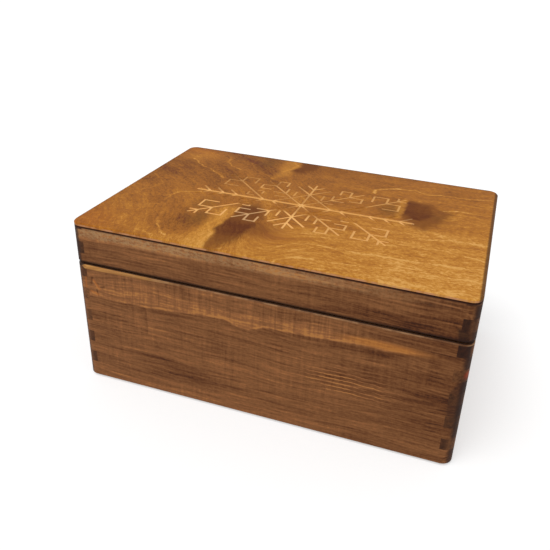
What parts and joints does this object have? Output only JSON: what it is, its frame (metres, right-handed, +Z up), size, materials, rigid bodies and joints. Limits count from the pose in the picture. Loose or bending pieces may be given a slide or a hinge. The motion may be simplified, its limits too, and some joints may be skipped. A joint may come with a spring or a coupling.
{
  "type": "wooden box",
  "caption": "Rectangular wooden keepsake box with finger-jointed corners, a back-hinged lid and a plywood top carved with a geometric ornament.",
  "frame": {"origin": "middle of the underside", "axes": "+Z up, the front faces -Y, +X runs to the right seen from the front"},
  "size_m": [0.3, 0.2043, 0.14],
  "materials": {
    "stained_pine": "brown stain, waxed",
    "top_plywood": "honey stain, waxed",
    "bottom_plywood": "plain, thin stain",
    "brass": "satin, slightly dulled"
  },
  "bodies": {
    "base": {"base_front_board": "stained_pine", "base_back_board": "stained_pine", "base_left_board": "stained_pine", "base_right_board": "stained_pine", "base_bottom_panel": "bottom_plywood", "left_hinge_base_leaf": "brass", "left_hinge_base_screws": "brass", "left_hinge_pin": "brass", "right_hinge_base_leaf": "brass", "right_hinge_base_screws": "brass", "right_hinge_pin": "brass"},
    "lid": {"lid_front_rail": "stained_pine", "lid_back_rail": "stained_pine", "lid_left_rail": "stained_pine", "lid_right_rail": "stained_pine", "lid_top_panel": "top_plywood", "left_hinge_lid_leaf": "brass", "left_hinge_lid_screws": "brass", "right_hinge_lid_leaf": "brass", "right_hinge_lid_screws": "brass"}
  },
  "joints": [
    {"name": "lid_hinge", "type": "hinge", "parent": "base", "child": "lid", "pos_m": [0, 0.1023, 0.1063], "axis": [-1, 0, 0], "range_deg": [0, 180]}
  ]
}
